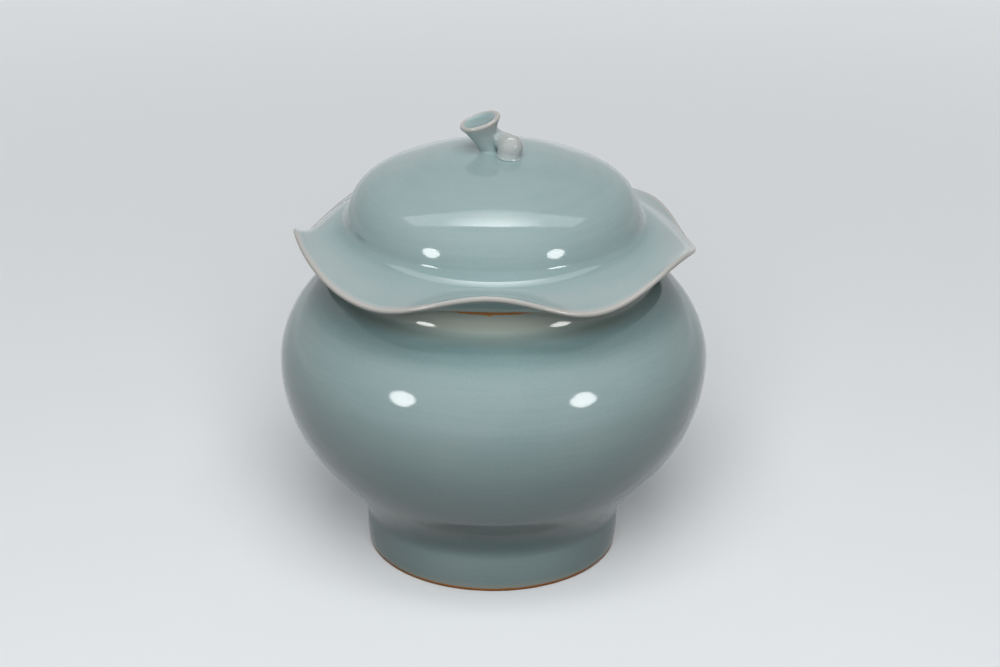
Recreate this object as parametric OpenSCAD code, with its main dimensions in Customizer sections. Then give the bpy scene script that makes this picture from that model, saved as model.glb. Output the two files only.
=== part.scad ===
// Lidded storage jar with a lotus-leaf lid.
// The jar is thrown as two bowls, luted together at the belly, with a saucer-shaped base
// dropped in from above. The lid is a dome whose brim is pinched up and down by hand into
// leaf lobes, with a ring below that finds the mouth and a bent stalk on top as its knob.
// +Z is up, the origin is the centre of the foot on the table, and -Y is the front.

/* [Jar] */
// Greatest diameter of the belly
belly_d = 250; // [236:1:264]
// Height of the widest line, where the two bowls meet
belly_z = 119; // [112:1:126]
// Height of the mouth rim
jar_h = 187; // [181:1:201]
// Thickness of the jar's wall
wall_t = 6; // [4.5:0.25:8]
// Outer diameter of the neck
neck_d = 179; // [172:1:186]
// Height of the straight part of the neck
neck_h = 9; // [7:0.5:12]
// Height over which the shoulder turns into the neck
shoulder_turn_h = 15; // [11:0.5:18]
// Rounding of the mouth rim's two edges
rim_round = 1.5; // [0.8:0.1:2]

/* [Foot and base] */
// Outer diameter of the foot on the table
foot_d = 146.6; // [138:0.2:154]
// How much wider the foot wall is at its top, in radius
foot_flare = 1.7; // [0:0.1:3]
// Height of the foot's upright wall
foot_h = 22; // [18:0.5:26]
// Height over which the foot turns into the belly
foot_turn_h = 34; // [28:0.5:38]
// Width of the foot ring where it stands on the table
foot_ring_w = 7; // [5.5:0.5:9]
// Bevel on the foot ring's edges
foot_bevel = 1.2; // [0.6:0.1:1.8]
// Height of the hollow under the jar
foot_recess_h = 9; // [6:0.5:11]
// Thickness of the ledge that carries the base
ledge_t = 7; // [5:0.5:8]
// Width of the ledge, inwards from the inner wall
ledge_w = 16; // [12:1:20]
// Thickness of the dropped-in base
base_t = 5.5; // [4:0.5:8]
// Depth by which the base sags below its ledge
base_sag = 3.5; // [1:0.5:5]
// Gap round the dropped-in base
base_gap = 0.6; // [0.3:0.1:1.2]

/* [Dome of the lid] */
// Height of the top of the dome above the mouth rim
dome_rise = 60; // [52:0.5:66]
// Radius of the crown's arc
crown_r = 140; // [125:1:165]
// Radius at which the crown turns down into the dome's side
crown_edge_r = 50; // [44:1:54]
// Distance of the dome's side inside the neck's outer wall
dome_inset = 4.2; // [2:0.2:6]
// Height above the mouth rim at which the dome's side starts to turn out into the brim
dome_foot_rise = 20; // [17:0.5:23]
// Thickness of the dome
lid_t = 7; // [5:0.5:8]

/* [Brim of the lid] */
// Mean diameter of the brim, between the centres of its rounded edge
brim_d = 232; // [222:1:240]
// Height of the brim above the mouth rim, just outside the neck
brim_root_rise = 13; // [12:0.5:14]
// Mean height of the brim's edge above the mouth rim
brim_edge_rise = 6; // [4:0.5:8]
// Radius of the brim's rounded edge
lip_r = 1.6; // [1.2:0.1:2.2]
// Distance outside the neck at which the dome has turned into the brim
brim_root_margin = 3.5; // [2:0.5:5]
// Distance outside the neck to which the lid's underside is flat
seat_margin = 6.5; // [4:0.5:9]

/* [Locating ring] */
// Depth of the ring below the mouth rim
ring_depth = 14; // [9:0.5:20]
// Thickness of the ring
ring_t = 4.2; // [3:0.2:5]
// Gap between the ring and the mouth
ring_gap = 1.2; // [0.6:0.1:2]

/* [Knob] */
// Radius of the stalk's flared mouth
stalk_mouth_r = 12; // [11:0.2:13]
// Length of the stalk along its own axis
stalk_len = 20; // [18:0.5:23]
// Radius of the stalk at its foot
stalk_foot_r = 4.6; // [4:0.2:5.4]
// Depth of the dish in the flared mouth
dish_depth = 3; // [1:0.5:4.5]
// Lean of the stalk to the left
stalk_lean = 18; // [8:1:22]
// Radius of the curled end beside the stalk
curl_r = 7.1; // [6.6:0.1:8]
// Gap of the luted joints below and beside the knob
luting_gap = 0.1; // [0.05:0.05:0.3]

/* [Hidden] */

glaze = "#a4bab9";
glaze_lid = "#b3c8c6";
bare_clay = "#c9703c";
turn_fn = 180;       // facets of a turned surface
stalk_fn = 96;       // facets of the turned stalk
cut_fn = 120;        // facets of the sphere that shapes the knob's feet

function mix(a, b, t) = a + (b - a) * t;
function ease(t) = (1 - cos(180 * t)) / 2;
function tail(list) = [for (i = [1:len(list) - 1]) list[i]];
function reversed(list) = [for (i = [len(list) - 1:-1:0]) list[i]];
function bez(a, b, c, d, n) =
    [for (i = [0:n]) let (t = i / n, s = 1 - t) s*s*s*a + 3*s*s*t*b + 3*s*t*t*c + t*t*t*d];
function arc(c, r, a, b, n) =
    [for (i = [0:n]) let (w = mix(a, b, i / n)) c + r * [cos(w), sin(w)]];

// A profile moved to its left by t. Run upwards, the outer face of a wall moves inwards.
function offset_left(pts, t) =
    [for (i = [0:len(pts) - 1])
        let (d = pts[min(i + 1, len(pts) - 1)] - pts[max(i - 1, 0)])
        pts[i] + t * [-d[1], d[0]] / norm(d)];

// The jar's outer profile. The belly is two quarter ellipses with one radius, the lower
// one hanging and the upper one standing.
belly_r = belly_d / 2;
neck_r = neck_d / 2;
foot_r = foot_d / 2;
foot_top_r = foot_r + foot_flare;
mouth_r = neck_r - wall_t;
lower_stretch = 1.0536;    // the lower quarter ellipse goes on past the top of the foot's wall
upper_stretch = 1.191;     // the upper one goes on past the mouth rim
lower_b = (belly_z - foot_h) * lower_stretch;
upper_b = (jar_h - belly_z) * upper_stretch;
belly_steps = 22;    // chords in each part of the belly
turn_steps = 12;     // chords in each turned blend
foot_steps = 6;      // chords in the foot's wall
round_steps = 5;     // chords in each rounded edge

function on_belly(phi, b) = [belly_r * cos(phi), belly_z + b * sin(phi)];
function belly_dir(phi, b) = let (d = [-belly_r * sin(phi), b * cos(phi)]) d / norm(d);

phi_low = asin((foot_h + foot_turn_h - belly_z) / lower_b);
phi_high = asin((jar_h - neck_h - shoulder_turn_h - belly_z) / upper_b);

foot_wall = bez([foot_r + foot_bevel * 0.3, foot_bevel], [foot_top_r, foot_h * 0.35],
                [foot_top_r, foot_h * 0.7], [foot_top_r, foot_h], foot_steps);
foot_turn = let (end = on_belly(phi_low, lower_b))
    bez([foot_top_r, foot_h], [foot_top_r, foot_h + foot_turn_h * 0.2],
        end - foot_turn_h * 0.65 * belly_dir(phi_low, lower_b), end, turn_steps);
lower_belly = [for (i = [0:belly_steps]) on_belly(phi_low * (1 - i / belly_steps), lower_b)];
upper_belly = [for (i = [0:belly_steps]) on_belly(phi_high * i / belly_steps, upper_b)];
shoulder_turn = let (start = on_belly(phi_high, upper_b))
    bez(start, start + shoulder_turn_h * 0.8 * belly_dir(phi_high, upper_b),
        [neck_r, jar_h - neck_h - shoulder_turn_h * 0.4], [neck_r, jar_h - neck_h], turn_steps);

// Both inner faces end on one point of the seam, so the two bowls meet face to face.
seam_inner = [belly_r - wall_t, belly_z];
lower_inner = let (all = offset_left(concat(foot_turn, tail(lower_belly)), wall_t))
    concat([for (i = [1:len(all) - 2]) all[i]], [seam_inner]);
upper_inner = let (all = offset_left(concat(upper_belly, tail(shoulder_turn)), wall_t))
    concat([seam_inner], [for (i = [1:len(all) - 2]) all[i]]);

ledge_top = foot_recess_h + ledge_t;
ledge_wall_r = foot_top_r - wall_t;
ledge_hole_r = ledge_wall_r - ledge_w;

// The lower bowl carries the foot ring and the ledge on which the base rests.
module lower_bowl() {
    color(glaze) rotate_extrude($fn = turn_fn) polygon(concat(
        [[foot_r - foot_ring_w + foot_bevel, 0], [foot_r - foot_bevel * 0.5, 0]],
        foot_wall, tail(foot_turn), tail(lower_belly),
        reversed(lower_inner),
        [[ledge_wall_r, foot_h], [ledge_wall_r, ledge_top],
         [ledge_hole_r, ledge_top], [ledge_hole_r, foot_recess_h],
         [foot_r - foot_ring_w - foot_bevel, foot_recess_h],
         [foot_r - foot_ring_w, foot_bevel]]));
}

// The upper bowl closes over the belly into the shoulder, and ends in the upright neck.
module upper_bowl() {
    edge_z = jar_h - rim_round;
    color(glaze) rotate_extrude($fn = turn_fn) polygon(concat(
        upper_belly, tail(shoulder_turn),
        arc([neck_r - rim_round, edge_z], rim_round, 0, 90, round_steps),
        arc([mouth_r + rim_round, edge_z], rim_round, 90, 180, round_steps),
        [[mouth_r, jar_h - neck_h]],
        reversed(upper_inner)));
}

// The base is a saucer that hangs a little below the ledge its flat rim rests on.
module base_disc() {
    rim_r = ledge_wall_r - base_gap;
    bowl_r = ledge_hole_r - base_gap;
    sag = bez([0, -base_sag], [bowl_r * 0.4, -base_sag], [bowl_r * 0.75, -base_sag * 0.5],
              [bowl_r, 0], 8);
    color(glaze) translate([0, 0, ledge_top]) rotate_extrude($fn = turn_fn) polygon(concat(
        sag, [[rim_r, 0], [rim_r, base_t]],
        reversed([for (p = sag) p + [0, base_t]])));
}

// The dome's outer profile, from its top down to its foot: the crown's arc, then one
// smooth turn into the upright side.
dome_z = jar_h + dome_rise;
dome_r = neck_r - dome_inset;
dome_inner_r = dome_r - lid_t;
dome_foot_z = jar_h + dome_foot_rise;
crown_c = [0, dome_z - crown_r];
crown_steps = 6;
side_steps = 9;
side_pull = 0.55;    // share of the side's height at which its curve is steered
function on_crown(a) = crown_c + crown_r * [sin(a), cos(a)];
crown_edge_a = asin(crown_edge_r / crown_r);
crown_edge = on_crown(crown_edge_a);
side_reach = side_pull * (crown_edge[1] - dome_foot_z);
dome = concat(
    [for (i = [1:crown_steps]) on_crown(crown_edge_a * i / crown_steps)],
    tail(bez(crown_edge, crown_edge + side_reach * [cos(crown_edge_a), -sin(crown_edge_a)],
             [dome_r, dome_foot_z + side_reach], [dome_r, dome_foot_z], side_steps)));
dome_inner = offset_left(dome, -lid_t);

// The brim's edge rises and falls between lobes and dips that were pinched by eye. Each
// is a direction in degrees from the front, turning to the right, the height of the edge
// above the rim, and how far the pinch drew the edge outwards.
lobes = [[-1, 15.9, 0], [62, 13, 0], [127, 5.5, -0.5], [204, 9.5, -1], [280, 14.5, -2]];
dips = [[30, 1.6, 0], [103, -4, -1.2], [168, -4, -0.5], [254, -6, -1.8], [325, 1.3, 0.8]];
pinches = concat([for (i = [0:len(lobes) - 1]) each [lobes[i], dips[i]]], [lobes[0] + [360, 0, 0]]);
function edge_at(a) =
    [for (i = [0:len(pinches) - 2])
        let (p = pinches[i], q = pinches[i + 1])
        if (a >= p[0] && a < q[0]) mix(p, q, ease((a - p[0]) / (q[0] - p[0])))][0];

// Across the brim, u runs from 0 where the dome has turned into it to 1 at the rounded
// edge. The mean surface falls early, and the lobes grow towards the edge. Below, the
// underside leaves the flat seat and runs out to the rounded edge.
brim_fall = 1.6;     // how early the mean surface falls
lobe_growth = 1.8;   // how late the lobes grow
under_growth = 1.5;  // how late the underside follows the edge
brim_root_r = neck_r + brim_root_margin;
brim_root_z = jar_h + brim_root_rise;
seat_r = neck_r + seat_margin;
function brim_top(u, edge_r, rise) =
    [mix(brim_root_r, edge_r, u),
     mix(brim_root_z, jar_h + brim_edge_rise + lip_r, 1 - pow(1 - u, brim_fall))
     + (rise - brim_edge_rise) * pow(u, lobe_growth)];
function brim_under(u, edge_r, rise) =
    [mix(seat_r, edge_r, u), mix(jar_h, jar_h + rise - lip_r, pow(u, under_growth))];

brim_steps = 6;
lip_steps = 4;
fillet_steps = 5;
brim_fillet = let (w = brim_root_r - dome_r, h = dome_foot_z - brim_root_z)
    tail(bez([dome_r, dome_foot_z], [dome_r, dome_foot_z - h * 0.6],
             [brim_root_r - w * 0.5, brim_root_z + w * 0.2], [brim_root_r, brim_root_z], fillet_steps));
function leaf_loop(a) =
    let (edge = edge_at(a), rise = edge[1], edge_r = brim_d / 2 + edge[2])
    concat(
        dome, brim_fillet,
        [for (i = [1:brim_steps]) brim_top(i / brim_steps, edge_r, rise)],
        tail(arc([edge_r, jar_h + rise], lip_r, 90, -90, lip_steps)),
        [for (i = [brim_steps - 1:-1:1]) brim_under(i / brim_steps, edge_r, rise)],
        [[seat_r, jar_h], [dome_inner_r, jar_h]],
        reversed(dome_inner));

// The leaf is one skin: a profile loop at each direction, closed at the top of the dome,
// outside and inside.
leaf_n = 90;
module lid_leaf() {
    turn = [for (k = [0:leaf_n - 1]) lobes[0][0] + 360 * k / leaf_n];
    loops = [for (a = turn) leaf_loop(a)];
    m = len(loops[0]);
    points = concat(
        [for (k = [0:leaf_n - 1]) for (p = loops[k]) [p[0] * sin(turn[k]), -p[0] * cos(turn[k]), p[1]]],
        [[0, 0, dome_z], [0, 0, dome_z - lid_t]]);
    top = leaf_n * m;
    faces = concat(
        [for (k = [0:leaf_n - 1]) let (a = k * m, b = (k + 1) % leaf_n * m) for (j = [0:m - 2]) each
            [[a + j, b + j + 1, a + j + 1], [a + j, b + j, b + j + 1]]],
        [for (k = [0:leaf_n - 1]) let (a = k * m, b = (k + 1) % leaf_n * m) each
            [[top, b, a], [top + 1, a + m - 1, b + m - 1]]]);
    color(glaze_lid) polyhedron(points, faces, convexity = 6);
}

// The locating ring hangs from the flat seat into the mouth.
module lid_ring() {
    outer_r = mouth_r - ring_gap;
    inner_r = outer_r - ring_t;
    bevel = ring_t * 0.25;
    color(bare_clay) translate([0, 0, jar_h - ring_depth]) rotate_extrude($fn = turn_fn) polygon(
        [[inner_r, bevel], [inner_r + bevel, 0], [outer_r - bevel, 0], [outer_r, bevel],
         [outer_r, ring_depth], [inner_r, ring_depth]]);
}

// The knob stands on the crown. Its stalk is a small trumpet that leans to the left, and
// its curled end lies in front of it on the right.
stalk_foot = [-2.4, -3];
stalk_tilt_front = 2;
stalk_lip_r = 1.3;
stalk_swell = [1.6, 2.9];        // growth of the stalk's radius at two places above its foot
stalk_swell_at = [0.3, 0.62];    // their heights as shares of its length
stalk_sink = 3;      // length below the crown that the crown's own sphere cuts away

function stalk_profile(grow) =
    let (foot = stalk_foot_r + grow, mouth = stalk_mouth_r - stalk_lip_r, dish_z = stalk_len - dish_depth)
    concat(
        [[0, -stalk_sink], [foot, -stalk_sink]],
        bez([foot, 0], [foot + stalk_swell[0], stalk_len * stalk_swell_at[0]],
            [foot + stalk_swell[1], stalk_len * stalk_swell_at[1]],
            [mouth + stalk_lip_r * 0.7 + grow, stalk_len - 1.9 * stalk_lip_r], 10),
        arc([mouth, stalk_len - stalk_lip_r], stalk_lip_r + grow, -30, 90, 4),
        tail(bez([mouth, stalk_len + grow], [mouth * 0.8, stalk_len - dish_depth * 0.55],
                 [mouth * 0.45, dish_z], [0, dish_z], 8)));

module stalk_body(grow) {
    foot_z = on_crown(asin(norm(stalk_foot) / crown_r))[1];
    translate([stalk_foot[0], stalk_foot[1], foot_z]) rotate([stalk_tilt_front, -stalk_lean, 0])
        rotate_extrude($fn = stalk_fn) polygon(stalk_profile(grow));
}

module crown_ball() {
    translate([0, 0, crown_c[1]]) sphere(r = crown_r + luting_gap, $fn = cut_fn);
}

module knob_stalk() {
    color(glaze_lid) difference() {
        stalk_body(0);
        crown_ball();
    }
}

// The curl leaves the stalk as a neck that slopes down a little, swells into a ball and
// bends straight down to the crown.
curl_start = [0.9, -0.9];
curl_dir = -50;      // direction from the start, in degrees from the right
curl_len = 12.4;     // distance from the start to the middle of the ball
curl_rise = 4.3;     // height of the ball's middle above the crown's top
curl_slope = 10;     // slope of the neck, down from the stalk
curl_neck = 0.66;    // share of the curl's radius that the neck has at the stalk
curl_leg = 0.97;     // share of the curl's radius that its leg has below the ball
curl_sink = 12;      // length of the leg, which reaches into the crown

module curl_body() {
    neck = bez([curl_r * curl_neck, 0], [curl_r * curl_neck, curl_len * 0.4],
               [curl_r, curl_len * 0.6], [curl_r, curl_len], 8);
    ball = [curl_start[0] + curl_len * cos(curl_dir), curl_start[1] + curl_len * sin(curl_dir),
            dome_z + curl_rise];
    translate(ball) rotate([0, 90 + curl_slope, curl_dir]) translate([0, 0, -curl_len])
        rotate_extrude($fn = stalk_fn) polygon(concat(
            [[0, 0]], neck, tail(arc([0, curl_len], curl_r, 0, 90, 8))));
    translate(ball - [0, 0, curl_sink]) cylinder(r = curl_r * curl_leg, h = curl_sink, $fn = stalk_fn);
}

module knob_curl() {
    color(glaze_lid) difference() {
        curl_body();
        crown_ball();
        stalk_body(luting_gap);
    }
}

lower_bowl();
upper_bowl();
base_disc();
lid_leaf();
lid_ring();
knob_stalk();
knob_curl();
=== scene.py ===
import math
from types import SimpleNamespace

import bpy
import numpy as np
from bpy.props import FloatProperty, FloatVectorProperty, PointerProperty
from mathutils import Matrix, Vector


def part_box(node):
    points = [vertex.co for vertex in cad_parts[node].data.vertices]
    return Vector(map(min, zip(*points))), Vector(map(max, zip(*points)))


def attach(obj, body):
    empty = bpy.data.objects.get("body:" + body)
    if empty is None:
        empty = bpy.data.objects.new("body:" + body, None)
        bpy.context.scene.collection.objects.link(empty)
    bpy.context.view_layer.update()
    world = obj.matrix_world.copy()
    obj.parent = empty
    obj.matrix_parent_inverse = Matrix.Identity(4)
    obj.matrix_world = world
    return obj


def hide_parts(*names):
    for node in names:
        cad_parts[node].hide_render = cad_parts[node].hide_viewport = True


bl_info = {
    "name": "Celadon jar with a leaf lid",
    "version": (1, 0, 0),
    "blender": (4, 5, 0),
    "location": "3D View > Sidebar > Jar",
    "description": "A thrown, glazed storage jar with a hand-pinched leaf lid and a bent stalk knob",
    "category": "Add Mesh",
}

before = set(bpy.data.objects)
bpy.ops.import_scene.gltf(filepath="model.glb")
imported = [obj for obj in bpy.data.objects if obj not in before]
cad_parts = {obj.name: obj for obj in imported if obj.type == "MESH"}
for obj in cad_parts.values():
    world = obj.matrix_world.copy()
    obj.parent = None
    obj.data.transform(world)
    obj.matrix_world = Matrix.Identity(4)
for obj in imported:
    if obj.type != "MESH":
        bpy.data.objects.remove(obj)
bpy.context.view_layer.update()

MM = 0.001           # one millimetre in Blender's metres
RIM_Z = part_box("upper_bowl")[1][2]
BELLY_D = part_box("upper_bowl")[1][0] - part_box("upper_bowl")[0][0]
BELLY_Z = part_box("lower_bowl")[1][2]


# ---- Sizes and colours that a user would change ----

def length(name, description, default):
    """A property for a length in metres."""
    return FloatProperty(name=name, description=description, default=default, min=0, unit="LENGTH", precision=4)


def colour(name, description, text):
    """A colour property whose default is an sRGB hex value."""
    return FloatVectorProperty(name=name, description=description, default=hex_linear(text)[:3],
                               subtype="COLOR", min=0, max=1)


def hex_linear(text):
    """An sRGB hex colour as linear red, green, blue and alpha."""
    srgb = np.array([int(text[i:i + 2], 16) for i in (1, 3, 5)]) / 255
    linear = np.where(srgb <= 0.04045, srgb / 12.92, ((srgb + 0.055) / 1.055) ** 2.4)
    return (*linear.tolist(), 1.0)


class JarSizes(bpy.types.PropertyGroup):
    """Sizes of the thrown jar."""
    belly_d: length("Belly diameter", "Greatest diameter of the belly", BELLY_D)
    belly_z: length("Belly height", "Height of the widest line", BELLY_Z)
    rim_z: length("Rim height", "Height of the mouth rim", RIM_Z)
    wall: length("Wall", "Thickness of the wall", 0.006)
    neck_d: length("Neck diameter", "Outer diameter of the neck", 0.179)
    neck_h: length("Neck height", "Height of the straight part of the neck", 0.009)
    shoulder_h: length("Shoulder turn", "Height over which the shoulder turns into the neck", 0.015)
    foot_d: length("Foot diameter", "Outer diameter of the foot on the table", 0.1466)
    foot_flare: length("Foot flare", "How much wider the foot is at its top, in radius", 0.0017)
    foot_h: length("Foot height", "Height of the foot's upright wall", 0.022)
    foot_turn_h: length("Foot turn", "Height over which the foot turns into the belly", 0.034)
    sway: length("Out of true", "How far the belly leans out on its right side", 0.0004)


class LidSizes(bpy.types.PropertyGroup):
    """Sizes of the leaf lid."""
    dome_rise: length("Dome rise", "Height of the dome above the mouth rim", 0.060)
    crown_r: length("Crown radius", "Radius of the crown's arc", 0.140)
    crown_edge_r: length("Crown edge", "Radius at which the crown turns down", 0.050)
    dome_inset: length("Dome inset", "Distance of the dome's side inside the neck", 0.0042)
    dome_foot_rise: length("Dome foot", "Height above the rim where the dome's side turns out", 0.020)
    wall: length("Wall", "Thickness of the dome", 0.007)
    brim_d: length("Brim diameter", "Mean diameter of the brim", 0.232)
    brim_root_rise: length("Brim root", "Height of the brim just outside the neck", 0.013)
    brim_edge_rise: length("Brim edge", "Mean height of the brim's edge", 0.006)
    lip: length("Lip radius", "Radius of the brim's rounded edge", 0.0016)


class KnobSizes(bpy.types.PropertyGroup):
    """Sizes of the stalk and its curled end."""
    mouth_r: length("Mouth radius", "Radius of the stalk's flared mouth", 0.012)
    stalk_len: length("Stalk length", "Length of the stalk along its own axis", 0.020)
    foot_r: length("Stalk foot", "Radius of the stalk at its foot", 0.0046)
    dish: length("Dish depth", "Depth of the dish in the flared mouth", 0.003)
    curl_r: length("Curl radius", "Radius of the curled end", 0.0071)
    glaze_fillet: length("Glaze fillet", "Width over which glaze fills the corner round the knob's foot", 0.0024)


class GlazeColours(bpy.types.PropertyGroup):
    """Colours of the glaze at five depths, of its olive flush, and of the clay."""
    edge: colour("Edge", "Glaze drawn thin over an edge, where the pale body shows", "#c1beb9")
    thin: colour("Thin", "Thin glaze, grey and pale", "#b4bebe")
    body: colour("Body", "Glaze at its usual depth", "#9cb3b4")
    deep: colour("Deep", "Glaze gathered in a turn", "#84a0a1")
    pool: colour("Pool", "Glaze pooled in a hollow", "#6f9194")
    # The olive flush and both clay colours are lighter than the ware's own colour: partly their real colour, partly
    # painted light that lifts the neck and the bare mouth rim out of the lid's shadow.
    olive: colour("Olive flush", "Thin glaze beside bare clay", "#b4c1b0")
    clay: colour("Clay", "Bare fired clay", "#e8a058")
    burnt: colour("Burnt clay", "Clay where the fire has flashed it", "#c9773a")


class StageSettings(bpy.types.PropertyGroup):
    """Floor and light round the jar."""
    pale: colour("Pale", "Colour of the floor and of the backdrop", "#d9dcde")
    key: FloatProperty(name="Front key", description="Power of the soft light above the camera", default=20.0,
                       unit="POWER")
    high_key: FloatProperty(name="High key", description="Power of the soft light high in front", default=8.5,
                            unit="POWER")
    back: FloatProperty(name="Back fill", description="Power of the soft light behind", default=5.0, unit="POWER")
    softbox: FloatProperty(name="Overhead softbox", description="Power of the long softbox above", default=6.0,
                           unit="POWER")
    softbox_middle: FloatProperty(name="Softbox middle", description="Power of the softbox's brighter middle",
                                  default=0.85, unit="POWER")
    lamp: FloatProperty(name="Round lamps", description="Power of each round lamp", default=3.6, unit="POWER")
    ambient: FloatProperty(name="Ambient", description="Strength of the even light from all round", default=0.09)


def in_mm(group):
    """A group's lengths as plain numbers in millimetres."""
    return SimpleNamespace(**{key: getattr(group, key) / MM for key in group.__annotations__})


# ---- Shapes, in millimetres ----

def bezier(points, steps):
    """Cubic Bezier curve on four control points, as (steps + 1, 2) points."""
    a, b, c, d = np.asarray(points, float)
    t = np.linspace(0, 1, steps + 1)[:, None]
    return (1 - t) ** 3 * a + 3 * (1 - t) ** 2 * t * b + 3 * (1 - t) * t ** 2 * c + t ** 3 * d


def arc(centre, radius, start, end, steps):
    """Circular arc from one direction in degrees to another."""
    w = np.radians(np.linspace(start, end, steps + 1))
    return np.asarray(centre) + radius * np.stack([np.cos(w), np.sin(w)], 1)


def offset_left(path, distance):
    """A path moved to its left: each point goes along the normal of the path's own slope."""
    step = np.gradient(path, axis=0)
    normal = np.stack([-step[:, 1], step[:, 0]], 1)
    return path + distance * normal / np.linalg.norm(normal, axis=1, keepdims=True)


def chain(*paths):
    """Paths end to end, without doubled points."""
    points = np.concatenate([np.atleast_2d(p) for p in paths])
    keep = np.ones(len(points), bool)
    keep[1:] = np.linalg.norm(np.diff(points, axis=0), axis=1) > 1e-3
    return points[keep]


def divided(path, longest):
    """A path with points added along it, so that no step is longer than the one given."""
    run = np.concatenate([[0], np.cumsum(np.linalg.norm(np.diff(path, axis=0), axis=1))])
    stops = np.union1d(run, np.arange(0, run[-1], longest))
    stops = stops[np.concatenate([[True], np.diff(stops) > longest * 0.05])]
    stops[-1] = run[-1]
    return np.stack([np.interp(stops, run, path[:, k]) for k in (0, 1)], 1)


def rounded(points, radius, steps=4):
    """A closed outline whose corners are turned by an arc-like curve of the radius given."""
    points = np.asarray(points, float)
    before = np.roll(points, 1, axis=0) - points
    after = np.roll(points, -1, axis=0) - points
    length_b = np.linalg.norm(before, axis=1, keepdims=True)
    length_a = np.linalg.norm(after, axis=1, keepdims=True)
    reach = np.minimum(radius, 0.45 * np.minimum(length_a, length_b))
    start = points + before / length_b * reach
    end = points + after / length_a * reach
    t = np.linspace(0, 1, steps + 1)[None, :, None]
    turns = (1 - t) ** 2 * start[:, None] + 2 * t * (1 - t) * points[:, None] + t ** 2 * end[:, None]
    return turns.reshape(-1, 2)


def smooth(x, low, high):
    """Smoothstep from 0 at low to 1 at high."""
    t = np.clip((x - low) / (high - low), 0, 1)
    return t * t * (3 - 2 * t)


def bell(x, centre, width):
    """A bell curve of height one."""
    return np.exp(-((x - centre) / width) ** 2)


def turned(profile, around):
    """A profile of (radius, height) turned round the axis: a grid (around, profile, 3) that
    starts at the front and goes to the right."""
    a = np.radians(np.arange(around) * 360 / around)[:, None]
    r, z = profile[None, :, 0], profile[None, :, 1]
    return np.stack([r * np.sin(a), -r * np.cos(a), z + 0 * a], 2)


def skin(name, grid, body, slot_name, material, loop=True, **marks):
    """Makes a piece from a grid (around, along, 3) in millimetres. The grid closes round
    itself; along it, loop closes it too, and otherwise both its ends close on a pole at
    their mean. Each mark is one number per grid point, kept as an attribute of its name."""
    n, m = grid.shape[:2]
    points = grid.reshape(-1, 3)
    marks = {key: np.broadcast_to(values, (n, m)).reshape(-1) for key, values in marks.items()}
    k = np.arange(n)[:, None]
    j = np.arange(m if loop else m - 1)[None, :]
    here, right = k * m, (k + 1) % n * m
    quads = np.stack(np.broadcast_arrays(here + j, right + j, right + (j + 1) % m, here + (j + 1) % m), 2)
    quads = quads.reshape(-1, 4)
    corners, sizes = [quads.reshape(-1)], [np.full(len(quads), 4)]
    if not loop:
        first, last = len(points), len(points) + 1
        points = np.concatenate([points, grid[:, 0].mean(0)[None], grid[:, -1].mean(0)[None]])
        marks = {key: np.append(values, values[[0, m - 1]]) for key, values in marks.items()}
        ring, after = np.arange(n) * m, (np.arange(n) + 1) % n * m
        corners.append(np.stack([np.full(n, first), after, ring], 1).reshape(-1))
        corners.append(np.stack([np.full(n, last), ring + m - 1, after + m - 1], 1).reshape(-1))
        sizes.append(np.full(2 * n, 3))
    corners, sizes = np.concatenate(corners), np.concatenate(sizes)
    starts = np.concatenate([[0], np.cumsum(sizes)[:-1]])
    a, b, c = (points[corners[starts + i]] for i in range(3))
    volume = np.einsum("ij,ij->i", a, np.cross(b, c))
    quad = sizes == 4
    d = points[corners[starts[quad] + 3]]
    total = volume.sum() + np.einsum("ij,ij->i", a[quad], np.cross(c[quad], d)).sum()
    if total < 0:    # the faces point inwards, so each one's corners are put in reverse
        corners = corners[np.repeat(2 * starts + sizes - 1, sizes) - np.arange(len(corners))]
    mesh = bpy.data.meshes.new(name)
    mesh.vertices.add(len(points))
    mesh.loops.add(len(corners))
    mesh.polygons.add(len(starts))
    mesh.vertices.foreach_set("co", (points * MM).astype(np.float32).reshape(-1))
    mesh.loops.foreach_set("vertex_index", corners.astype(np.int32))
    mesh.polygons.foreach_set("loop_start", starts.astype(np.int32))
    mesh.polygons.foreach_set("use_smooth", np.ones(len(starts), bool))
    for key, values in marks.items():
        mesh.attributes.new(key, "FLOAT", "POINT").data.foreach_set("value", values.astype(np.float32))
    mesh.update(calc_edges=True)
    mesh.validate()
    mesh.set_sharp_from_angle(angle=math.radians(40))
    mesh.materials.append(material)
    piece = bpy.data.objects.new(name, mesh)
    bpy.context.scene.collection.objects.link(piece)
    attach(piece, body)
    return piece


# ---- Materials ----

def add_node(tree, kind, values=None, links=None, stops=None, **settings):
    """Adds a node: settings are its properties, values fill its sockets, links join other
    nodes' outputs to its inputs, and stops are a ramp's positions and colours."""
    new = tree.nodes.new(kind)
    for key, value in settings.items():
        setattr(new, key, value)
    for key, value in (values or {}).items():
        new.inputs[key].default_value = value
    for key, source in (links or {}).items():
        tree.links.new(source, new.inputs[key])
    if stops:
        ramp = new.color_ramp
        while len(ramp.elements) < len(stops):
            ramp.elements.new(0.5)
        for element, (position, shade) in zip(ramp.elements, stops):
            element.position, element.color = position, shade
    return new


def blank_material(name):
    """A new material with an empty node tree."""
    material = bpy.data.materials.new(name)
    material.use_nodes = True
    material.node_tree.nodes.clear()
    return material, material.node_tree


CLOUD_MM = 42        # size of the soft clouds in the glaze
GRAIN_MM = 1.1       # size of the fine mottling; the real one is finer and wouldn't show
THROW_MM = 2.4       # spacing of the faint throwing lines
PEEL_MM = 5          # size of the dimples of the fired surface
GRIT_MM = 0.9        # size of the grit in bare clay, drawn coarse enough to show
SPECK_MM = 9         # spacing of the few dark iron specks


def per_metre(size_mm):
    """The scale of a noise whose features are about the size given."""
    return 1 / (size_mm * MM)


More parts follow.
